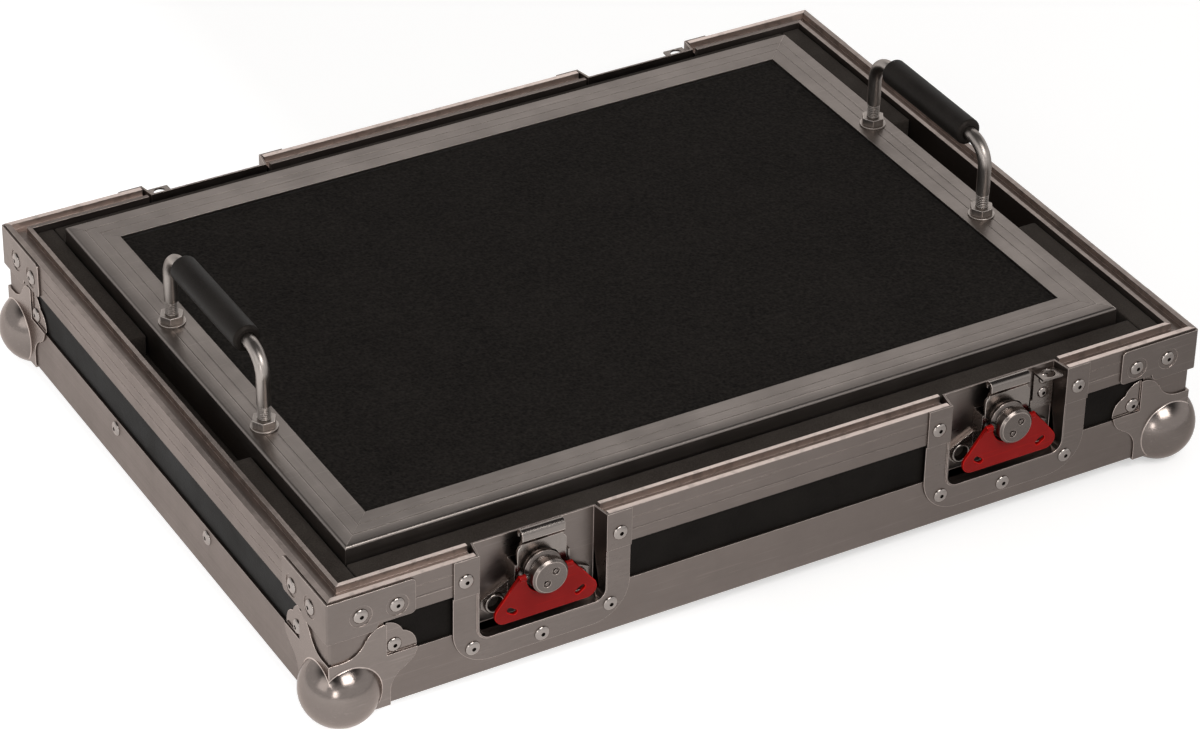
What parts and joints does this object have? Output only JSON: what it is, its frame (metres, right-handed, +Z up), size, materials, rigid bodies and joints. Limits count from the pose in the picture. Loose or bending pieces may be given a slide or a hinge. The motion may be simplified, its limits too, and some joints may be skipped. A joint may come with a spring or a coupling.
{
  "type": "guitar pedal case base",
  "caption": "Open base of a flight case for guitar pedals: aluminium-edged plywood tray, ball corners, recessed turn latches, foam lining and a lift-out carpeted board with handles.",
  "frame": {"origin": "under the middle of the case, at the height of the ball corners' lowest points", "axes": "+X along the front to the right, +Y from the latched front to the back, +Z up"},
  "size_m": [0.5954, 0.4594, 0.1563],
  "materials": {
    "laminate": "textured black laminate on plywood",
    "extrusion": "satin anodised",
    "frame_bar": "satin anodised",
    "stamped_steel": "satin nickel plating",
    "bracket": "zinc plating",
    "rivet": "zinc plating",
    "bright_plate": "bright nickel plating",
    "wing_paint": "gloss red",
    "foam": "closed cell foam, fine texture",
    "carpet": "short loop pile",
    "handle_rod": "zinc plating",
    "grip_rubber": "matte"
  },
  "bodies": {
    "case": {"bottom_panel": "laminate", "front_wall": "laminate", "back_wall": "laminate", "left_wall": "laminate", "right_wall": "laminate", "front_rim": "extrusion", "back_rim": "extrusion", "left_rim": "extrusion", "right_rim": "extrusion", "front_edge": "extrusion", "back_edge": "extrusion", "left_edge": "extrusion", "right_edge": "extrusion", "corner_angles": "extrusion", "corner_braces": "stamped_steel", "ball_corners": "stamped_steel", "left_latch_dish": "stamped_steel", "right_latch_dish": "stamped_steel", "left_rear_dish": "stamped_steel", "right_rear_dish": "stamped_steel", "front_eye": "bracket", "left_rear_eye": "bracket", "right_rear_eye": "bracket", "left_base_plate": "bracket", "right_base_plate": "bracket", "brace_rivets": "rivet", "ball_rivets": "rivet", "band_rivets": "rivet", "dish_rivets": "rivet", "eye_rivets": "rivet", "latch_eyelets": "bright_plate", "lining_front": "foam", "lining_back": "foam", "lining_left": "foam", "lining_right": "foam", "foam_ledge": "foam", "floor_pad": "foam"},
    "board": {"deck_panel": "laminate", "deck_carpet": "carpet", "front_bar": "frame_bar", "back_bar": "frame_bar", "left_bar": "frame_bar", "right_bar": "frame_bar", "left_handle": "handle_rod", "right_handle": "handle_rod", "left_grip": "grip_rubber", "right_grip": "grip_rubber", "handle_nuts": "handle_rod", "handle_washers": "handle_rod"},
    "left_turner": {"left_knob": "bright_plate", "left_pin": "bright_plate"},
    "left_wing_body": {"left_wing": "wing_paint"},
    "left_hook_body": {"left_hook": "bright_plate"},
    "right_turner": {"right_knob": "bright_plate", "right_pin": "bright_plate"},
    "right_wing_body": {"right_wing": "wing_paint"},
    "right_hook_body": {"right_hook": "bright_plate"}
  },
  "joints": [
    {"name": "board_lift", "type": "slide", "parent": "case", "child": "board", "axis": [0, 0, 1], "range_m": [0, 0.06]},
    {"name": "left_knob_turn", "type": "hinge", "parent": "case", "child": "left_turner", "pos_m": [-0.1541, -0.2187, 0.0698], "axis": [0, 1, 0], "range_deg": [0, 180]},
    {"name": "left_wing_fold", "type": "hinge", "parent": "left_turner", "child": "left_wing_body", "pos_m": [-0.1541, -0.2217, 0.0698], "axis": [-1, 0, 0], "range_deg": [0, 90]},
    {"name": "left_hook_slide", "type": "slide", "parent": "case", "child": "left_hook_body", "axis": [0, 0, -1], "range_m": [0, 0.008]},
    {"name": "right_knob_turn", "type": "hinge", "parent": "case", "child": "right_turner", "pos_m": [0.1545, -0.2187, 0.0698], "axis": [0, 1, 0], "range_deg": [0, 180]},
    {"name": "right_wing_fold", "type": "hinge", "parent": "right_turner", "child": "right_wing_body", "pos_m": [0.1545, -0.2217, 0.0698], "axis": [-1, 0, 0], "range_deg": [0, 90]},
    {"name": "right_hook_slide", "type": "slide", "parent": "case", "child": "right_hook_body", "axis": [0, 0, -1], "range_m": [0, 0.008]}
  ],
  "couplings": [
    {"joint": "left_hook_slide", "follows": "left_knob_turn", "m_per_rad": 0.0025465},
    {"joint": "right_hook_slide", "follows": "right_knob_turn", "m_per_rad": 0.0025465}
  ]
}
